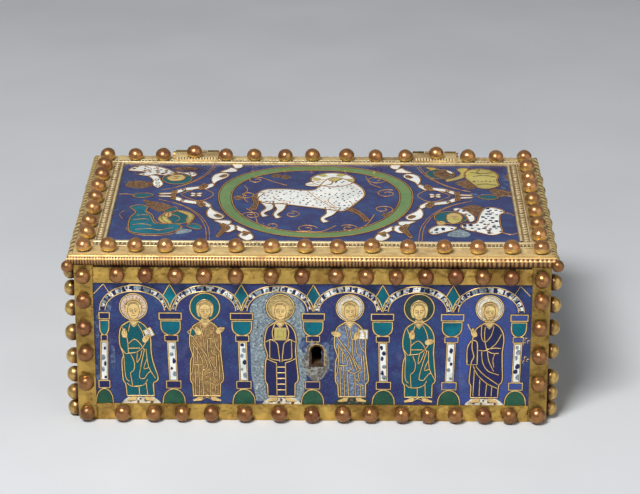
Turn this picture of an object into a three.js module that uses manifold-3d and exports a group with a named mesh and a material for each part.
// An enamelled reliquary casket: a hollow oak box under a hinged lid, both clad in
// enamelled copper plates that gilt copper strips and round-headed nails hold down.
// Millimetres, +Z up. The origin is the centre of the underside, and the front faces -Y.

import * as THREE from 'three';
import { mergeVertices } from 'three/addons/utils/BufferGeometryUtils.js';
import Module from 'manifold-3d';

// ---- Driving dimensions ----

const BODY_WIDTH = 210;
const BODY_DEPTH = 126;
const BODY_HEIGHT = 75;
const WALL = 8; // the oak box's walls and floor
const PLATE = 1.6; // enamelled plates
const STRIP = 0.8; // nailed gilt strips on the body
const SEAT = 0.06; // play between pieces that lie on each other

const COLUMN_WIDTH = 8.2; // upright strips
const TOP_STRIP_WIDTH = 8.5;
const BOTTOM_STRIP_WIDTH = 7.9;

const LID_OVERHANG = 3;
const LID_GAP = 0.2; // between the box's rim and the lid
const LID_BOARD = 3.3;
const LID_PLATE = 1.4;
const LID_STRIP = 0.6;
const MOULDING_RADIUS = 2.7;
const BORDER_WIDTH = { front: 15.1, back: 10.2, side: 13.6 };

const NAIL_RADIUS = 3.6;
const NAIL_SIDES = 7;
const NAIL_SUNK = 0.3; // how far a head's foot reaches into its strip
const LID_NAIL_INSET = { front: 6.4, back: 8.4, side: 7.3 }; // from the lid's outer edge
const COLUMN_NAIL_INSET = 4.1; // from the face's upright edge
const TOP_NAIL_DROP = 4.2; // from the top of the body
const BOTTOM_NAIL_RISE = 3.8;

// The nails were set by eye, so their spacing wanders. Rows run across from the middle, columns up from the foot.
const LONG_FACE_NAILS = {
  top: [-85.9, -73.3, -59.8, -47.5, -33.7, -18.2, -4.6, 10.2, 23.6, 36.7, 49.7, 62.9, 74.9, 87.4],
  bottom: [-85.1, -71.1, -58.4, -45.2, -30.3, -14.8, -0.2, 13.8, 26.2, 40.3, 52, 64.1, 76.8, 88.5],
  left: [3.8, 18.7, 32.8, 45.5, 58.6, 70.2],
  right: [4, 19.5, 32.9, 46.5, 59, 69.9],
};
const RIGHT_FACE_NAILS = {
  top: [-43.9, -28.6, -14.9, 0.6, 14.2, 29.4, 43.2],
  bottom: [-44.1, -29.8, -15.6, -0.7, 14.8, 28.4, 43.8],
  left: [4.6, 12.5, 20.3, 33, 44.3, 55.3, 66.2],
  right: [4, 14.2, 24.9, 36.6, 47.2, 58.8, 70.2],
};
const LEFT_FACE_NAILS = {
  top: [-43.4, -29.6, -14.3, -0.4, 15.1, 28.9, 44],
  bottom: [-43.7, -28.7, -14.1, 0.8, 15.3, 29.6, 43.5],
  left: [4.2, 15.1, 26.4, 37.2, 49, 60.3, 70.4],
  right: [4, 11.8, 20.4, 29.1, 40.4, 52.6, 62.1, 70.6],
};
const LID_NAILS = {
  front: [-100.6, -89.8, -77.8, -64.8, -48.9, -33.7, -17.9, -3.2, 11.1, 26.1, 41.7, 57.7, 72.7, 87.5, 100.6],
  back: [-100.2, -86.7, -73.2, -43.2, -29.4, -14.5, -1.3, 14.9, 28.9, 43.2, 73.2, 86.8, 100.4],
  left: [-44.4, -30.4, -13.8, -0.2, 15.3, 30.4, 44.2],
  right: [-44.4, -30.2, -14.7, 0.2, 16.6, 29.2, 44.4],
};

const KEYHOLE = { x: 1.9, foot: 27.2, top: 36.4, radius: 2.5, slot: 4.5 };

const HINGE_X = 57.6;
const HINGE_WIDTH = 21;
const HINGE_AXIS = { y: 69, z: 79 };
const BARREL_RADIUS = 2.5;
const PIN_RADIUS = 1.1;
const PIN_HOLE_RADIUS = 1.25;
const MIDDLE_KNUCKLE = 9;
const KNUCKLE_GAP = 0.4;
const BARREL_SIDES = 16;
const LEAF = { thickness: 1, foot: 66.6, tabHeight: 1.3, webDepth: 3, nailSpread: 6, nailRise: 3.4 };
const STRAP = { thickness: 1, reach: 11, nailX: 58.2, nailInset: 7.3 };

// ---- Derived sizes ----

const HALF_X = BODY_WIDTH / 2;
const HALF_Y = BODY_DEPTH / 2;
const PLATE_FACE_INSET = STRIP + SEAT;
const CORE_INSET = PLATE_FACE_INSET + PLATE + SEAT;
const LID_BASE = BODY_HEIGHT + LID_GAP;
const LID_TOP = LID_BASE + LID_BOARD + SEAT + LID_PLATE + SEAT + LID_STRIP;
const LID_HALF_X = HALF_X + LID_OVERHANG;
const LID_HALF_Y = HALF_Y + LID_OVERHANG;
const BOARD_HALF_X = LID_HALF_X - MOULDING_RADIUS;
const BOARD_HALF_Y = LID_HALF_Y - MOULDING_RADIUS;

// ---- Materials ----

const gilt = { color: 0xb09a5c, roughness: 0.4, metalness: 0.9 };
const warmGilt = { color: 0xb08a56, roughness: 0.45, metalness: 0.85 };
const enamel = { color: 0x343678, roughness: 0.2, metalness: 0 };
const oak = { color: 0x5b3f28, roughness: 0.8, metalness: 0 };

// ---- Solids ----

const wasm = await Module();
wasm.setup();

// Drops all but the positions and merges the shared corners of a closed geometry.
function weld(geometry) {
  const plain = geometry.clone();
  plain.deleteAttribute('normal');
  plain.deleteAttribute('uv');
  return mergeVertices(plain, 1e-4);
}

function toSolid(geometry) {
  const closed = weld(geometry);
  const mesh = new wasm.Mesh({
    numProp: 3,
    vertProperties: new Float32Array(closed.attributes.position.array),
    triVerts: new Uint32Array(closed.index.array),
  });
  return new wasm.Manifold(mesh);
}

function toGeometry(solid) {
  const mesh = solid.getMesh();
  const geometry = new THREE.BufferGeometry();
  geometry.setAttribute('position', new THREE.BufferAttribute(mesh.vertProperties, 3));
  geometry.setIndex(new THREE.BufferAttribute(mesh.triVerts, 1));
  return geometry;
}

function join(geometries) {
  const solids = geometries.map(toSolid);
  return toGeometry(solids.reduce((sum, solid) => sum.add(solid)));
}

function cut(geometry, tool) {
  return toGeometry(toSolid(geometry).subtract(toSolid(tool)));
}

// A box from its lowest corner to its highest.
function block(low, high) {
  const size = high.map((value, axis) => value - low[axis]);
  const geometry = new THREE.BoxGeometry(...size);
  geometry.translate(...low.map((value, axis) => value + size[axis] / 2));
  return geometry;
}

const group = new THREE.Group();

function addPart(name, geometry, finish) {
  const mesh = new THREE.Mesh(geometry, new THREE.MeshStandardMaterial(finish));
  mesh.name = name;
  group.add(mesh);
  return mesh;
}

// ---- Nails ----

// A ball-headed nail that stands on the plane z = 0, its foot sunk a little below it.
function nailHead() {
  const centre = NAIL_RADIUS / 2;
  const profile = [new THREE.Vector2(0, -NAIL_SUNK)];
  profile.push(new THREE.Vector2(NAIL_RADIUS * Math.cos(Math.PI / 6), -NAIL_SUNK));
  for (const angle of [0, Math.PI / 4]) {
    profile.push(new THREE.Vector2(NAIL_RADIUS * Math.cos(angle), centre + NAIL_RADIUS * Math.sin(angle)));
  }
  profile.push(new THREE.Vector2(0, centre + NAIL_RADIUS));
  const geometry = new THREE.LatheGeometry(profile, NAIL_SIDES);
  geometry.rotateX(Math.PI / 2);
  return geometry;
}

// Nail heads at (x, y) places on a face that looks along +Z at the given height.
function nailsOn(places, height) {
  return places.map(([x, y]) => nailHead().translate(x, y, height));
}

// A strip that lies on the plane z = 0, with its nails driven through it.
function nailedStrip(low, high, thickness, places) {
  return join([block([...low, 0], [...high, thickness]), ...nailsOn(places, thickness)]);
}

// ---- The body's faces ----

// A face is drawn in its own plane: x to the right, y up, z outwards.
const FACES = {
  front: { half: HALF_X, reach: HALF_Y, turn: 0, nails: LONG_FACE_NAILS },
  right: { half: HALF_Y - PLATE_FACE_INSET, reach: HALF_X, turn: Math.PI / 2, nails: RIGHT_FACE_NAILS },
  back: { half: HALF_X, reach: HALF_Y, turn: Math.PI, nails: LONG_FACE_NAILS },
  left: { half: HALF_Y - PLATE_FACE_INSET, reach: HALF_X, turn: -Math.PI / 2, nails: LEFT_FACE_NAILS },
};

// Stands a face's drawing upright, at its distance from the middle, and turns it round.
function place(geometry, face, inset) {
  geometry.rotateX(Math.PI / 2);
  geometry.translate(0, -(face.reach - inset), 0);
  geometry.rotateZ(face.turn);
  return geometry;
}

// The middles of the hinge leaf's two nails, on a top row that counts the leaf's place as taken.
function leafNails() {
  const rise = LEAF.foot + LEAF.nailRise;
  return [-LEAF.nailSpread, LEAF.nailSpread].map((x) => [x, rise]);
}

function clearOfHinges(x) {
  return Math.abs(Math.abs(x) - HINGE_X) > HINGE_WIDTH / 2 + NAIL_RADIUS;
}

function addStrips(name, face) {
  const inner = face.half - COLUMN_WIDTH - SEAT;
  const columnX = face.half - COLUMN_NAIL_INSET;
  const topZ = BODY_HEIGHT - TOP_NAIL_DROP;
  const topRow = name === 'back' ? face.nails.top.filter(clearOfHinges) : face.nails.top;
  const topFoot = BODY_HEIGHT - TOP_STRIP_WIDTH;
  const strips = {
    left: [[-face.half, 0], [-inner - SEAT, BODY_HEIGHT], face.nails.left.map((z) => [-columnX, z])],
    right: [[inner + SEAT, 0], [face.half, BODY_HEIGHT], face.nails.right.map((z) => [columnX, z])],
    top: [[-inner, topFoot], [inner, BODY_HEIGHT], topRow.map((x) => [x, topZ])],
    bottom: [
      [-inner, 0],
      [inner, BOTTOM_STRIP_WIDTH],
      face.nails.bottom.map((x) => [x, BOTTOM_NAIL_RISE]),
    ],
  };
  for (const [side, [low, high, places]] of Object.entries(strips)) {
    addPart(`${name}_strip_${side}`, place(nailedStrip(low, high, STRIP, places), face, STRIP), gilt);
  }
}

// A round-topped keyhole that runs from one depth to another.
function keyholeTool(margin, front, back) {
  const radius = KEYHOLE.radius + margin;
  const half = KEYHOLE.slot / 2 + margin;
  const centre = KEYHOLE.top - KEYHOLE.radius;
  const start = -Math.acos(half / radius);
  const shape = new THREE.Shape();
  shape.moveTo(-half, KEYHOLE.foot - margin);
  shape.lineTo(half, KEYHOLE.foot - margin);
  shape.absarc(0, centre, radius, start, Math.PI - start, false);
  shape.closePath();
  const geometry = new THREE.ExtrudeGeometry(shape, { depth: back - front, bevelEnabled: false, curveSegments: 10 });
  geometry.rotateX(Math.PI / 2);
  geometry.translate(KEYHOLE.x, back, 0);
  return geometry;
}

function addBodyPlates() {
  const halfX = HALF_X - PLATE_FACE_INSET;
  const front = HALF_Y - PLATE_FACE_INSET;
  const plate = block([-halfX, -front, 0], [halfX, -front + PLATE, BODY_HEIGHT]);
  addPart('front_plate', cut(plate, keyholeTool(0, -HALF_Y - 1, -front + PLATE + 1)), enamel);
  addPart('back_plate', block([-halfX, front - PLATE, 0], [halfX, front, BODY_HEIGHT]), enamel);
  const halfY = front - PLATE - SEAT;
  addPart('left_plate', block([-halfX, -halfY, 0], [-halfX + PLATE, halfY, BODY_HEIGHT]), enamel);
  addPart('right_plate', block([halfX - PLATE, -halfY, 0], [halfX, halfY, BODY_HEIGHT]), enamel);
}

function addBoxCore() {
  const halfX = HALF_X - CORE_INSET;
  const halfY = HALF_Y - CORE_INSET;
  const outer = block([-halfX, -halfY, 0], [halfX, halfY, BODY_HEIGHT]);
  const hollow = block([WALL - halfX, WALL - halfY, WALL], [halfX - WALL, halfY - WALL, BODY_HEIGHT + 1]);
  const keyhole = keyholeTool(0.4, -halfY - 1, -halfY + WALL + 1);
  addPart('box_core', cut(cut(outer, hollow), keyhole), oak);
}

// ---- The lid ----

function addLidBoards() {
  const board = [BOARD_HALF_X - SEAT, BOARD_HALF_Y - SEAT];
  const plateBase = LID_BASE + LID_BOARD + SEAT;
  addPart('lid_board', block([-board[0], -board[1], LID_BASE], [...board, LID_BASE + LID_BOARD]), oak);
  addPart('lid_plate', block([-board[0], -board[1], plateBase], [...board, plateBase + LID_PLATE]), enamel);
}

function addLidBorders() {
  const halfX = BOARD_HALF_X - SEAT;
  const halfY = BOARD_HALF_Y - SEAT;
  const base = LID_TOP - LID_STRIP;
  const nailX = LID_HALF_X - LID_NAIL_INSET.side;
  const frontY = LID_NAIL_INSET.front - LID_HALF_Y;
  const backY = LID_HALF_Y - LID_NAIL_INSET.back;
  const innerX = halfX - BORDER_WIDTH.side;
  const innerFront = BORDER_WIDTH.front - halfY;
  const innerBack = halfY - BORDER_WIDTH.back;
  const borders = {
    front: [[-halfX, -halfY], [halfX, innerFront], LID_NAILS.front.map((x) => [x, frontY])],
    back: [[-halfX, innerBack], [halfX, halfY], LID_NAILS.back.map((x) => [x, backY])],
    left: [[-halfX, innerFront + SEAT], [-innerX, innerBack - SEAT], LID_NAILS.left.map((y) => [-nailX, y])],
    right: [[innerX, innerFront + SEAT], [halfX, innerBack - SEAT], LID_NAILS.right.map((y) => [nailX, y])],
  };
  for (const [side, [low, high, places]] of Object.entries(borders)) {
    const geometry = nailedStrip(low, high, LID_STRIP, places);
    geometry.translate(0, 0, base);
    addPart(`lid_border_${side}`, geometry, warmGilt);
  }
}

// A half-round bar along x, flat side towards +y, its ends cut at 45 degrees.
function mouldingBar(halfLength) {
  const profile = new THREE.Shape();
  profile.moveTo(0, -MOULDING_RADIUS);
  profile.absarc(0, 0, MOULDING_RADIUS, -Math.PI / 2, Math.PI / 2, false);
  profile.closePath();
  const geometry = new THREE.ExtrudeGeometry(profile, { depth: 1, bevelEnabled: false, curveSegments: 8 });
  const position = geometry.attributes.position;
  for (let i = 0; i < position.count; i += 1) {
    const out = position.getX(i);
    const up = position.getY(i);
    const side = position.getZ(i) > 0.5 ? -1 : 1;
    position.setXYZ(i, side * (halfLength + out - SEAT), -out, up);
  }
  return geometry;
}

function addMouldings() {
  const height = LID_BASE + MOULDING_RADIUS;
  const bars = {
    front: [BOARD_HALF_X, BOARD_HALF_Y, 0],
    right: [BOARD_HALF_Y, BOARD_HALF_X, Math.PI / 2],
    back: [BOARD_HALF_X, BOARD_HALF_Y, Math.PI],
    left: [BOARD_HALF_Y, BOARD_HALF_X, -Math.PI / 2],
  };
  for (const [side, [halfLength, reach, turn]] of Object.entries(bars)) {
    const geometry = mouldingBar(halfLength);
    geometry.translate(0, -reach, height);
    geometry.rotateZ(turn);
    addPart(`lid_moulding_${side}`, geometry, warmGilt);
  }
}

// ---- Hinges, drawn round x = 0 and moved to their side ----

function barrel(radius, fromX, toX) {
  const geometry = new THREE.CylinderGeometry(radius, radius, toX - fromX, BARREL_SIDES);
  geometry.rotateZ(Math.PI / 2);
  geometry.translate((fromX + toX) / 2, HINGE_AXIS.y, HINGE_AXIS.z);
  return geometry;
}

function pinHole() {
  return barrel(PIN_HOLE_RADIUS, -HINGE_WIDTH, HINGE_WIDTH);
}

// The leaf lies on the back strip, steps out under the lid's edge and rises to its two knuckles.
function hingeLeaf() {
  const face = HALF_Y + SEAT;
  const half = HINGE_WIDTH / 2;
  const top = BODY_HEIGHT - LID_GAP / 2;
  const tabFoot = top - LEAF.tabHeight;
  const webBack = HINGE_AXIS.y + LEAF.webDepth / 2;
  const knuckle = MIDDLE_KNUCKLE / 2 + KNUCKLE_GAP;
  const pieces = [
    block([-half, face, LEAF.foot], [half, face + LEAF.thickness, top]),
    block([-half, face, tabFoot], [half, webBack, top]),
  ];
  for (const side of [-1, 1]) {
    const ends = [side * knuckle, side * half].sort((a, b) => a - b);
    pieces.push(barrel(BARREL_RADIUS, ...ends));
    pieces.push(block([ends[0], webBack - LEAF.webDepth, tabFoot], [ends[1], webBack, HINGE_AXIS.z]));
  }
  for (const [x, z] of leafNails()) {
    const nail = nailHead();
    nail.rotateX(-Math.PI / 2);
    pieces.push(nail.translate(x, face + LEAF.thickness, z));
  }
  return cut(join(pieces), pinHole());
}

// The strap lies across the lid's back border and narrows to its one knuckle.
function hingeStrap(nailX) {
  const base = LID_TOP + SEAT;
  const half = HINGE_WIDTH / 2;
  const edge = LID_HALF_Y + 0.4;
  const knuckle = MIDDLE_KNUCKLE / 2;
  const pieces = [
    block([-half, LID_HALF_Y - STRAP.reach, base], [half, edge, base + STRAP.thickness]),
    block([-knuckle, edge - 1, base], [knuckle, HINGE_AXIS.y, base + STRAP.thickness]),
    barrel(BARREL_RADIUS, -knuckle, knuckle),
    nailHead().translate(nailX, LID_HALF_Y - STRAP.nailInset, base + STRAP.thickness),
  ];
  return cut(join(pieces), pinHole());
}

// A plain pin with a small head at each end, clear of the knuckles.
function hingePin() {
  const half = HINGE_WIDTH / 2 + 0.2;
  const head = { radius: 1.9, length: 0.9 };
  const profile = [
    new THREE.Vector2(0, -half - head.length),
    new THREE.Vector2(head.radius, -half - head.length),
    new THREE.Vector2(head.radius, -half),
    new THREE.Vector2(PIN_RADIUS, -half),
    new THREE.Vector2(PIN_RADIUS, half),
    new THREE.Vector2(head.radius, half),
    new THREE.Vector2(head.radius, half + head.length),
    new THREE.Vector2(0, half + head.length),
  ];
  const geometry = new THREE.LatheGeometry(profile, 12);
  geometry.rotateZ(Math.PI / 2);
  geometry.translate(0, HINGE_AXIS.y, HINGE_AXIS.z);
  return geometry;
}

function addHinges() {
  for (const [name, side] of [['left', -1], ['right', 1]]) {
    const x = side * HINGE_X;
    const nailX = side * (STRAP.nailX - HINGE_X);
    addPart(`hinge_leaf_${name}`, hingeLeaf().translate(x, 0, 0), warmGilt);
    addPart(`hinge_strap_${name}`, hingeStrap(nailX).translate(x, 0, 0), warmGilt);
    addPart(`hinge_pin_${name}`, hingePin().translate(x, 0, 0), warmGilt);
  }
}

// ---- The whole casket ----

addBoxCore();
addBodyPlates();
for (const [name, face] of Object.entries(FACES)) {
  addStrips(name, face);
}
addLidBoards();
addLidBorders();
addMouldings();
addHinges();

export default group;
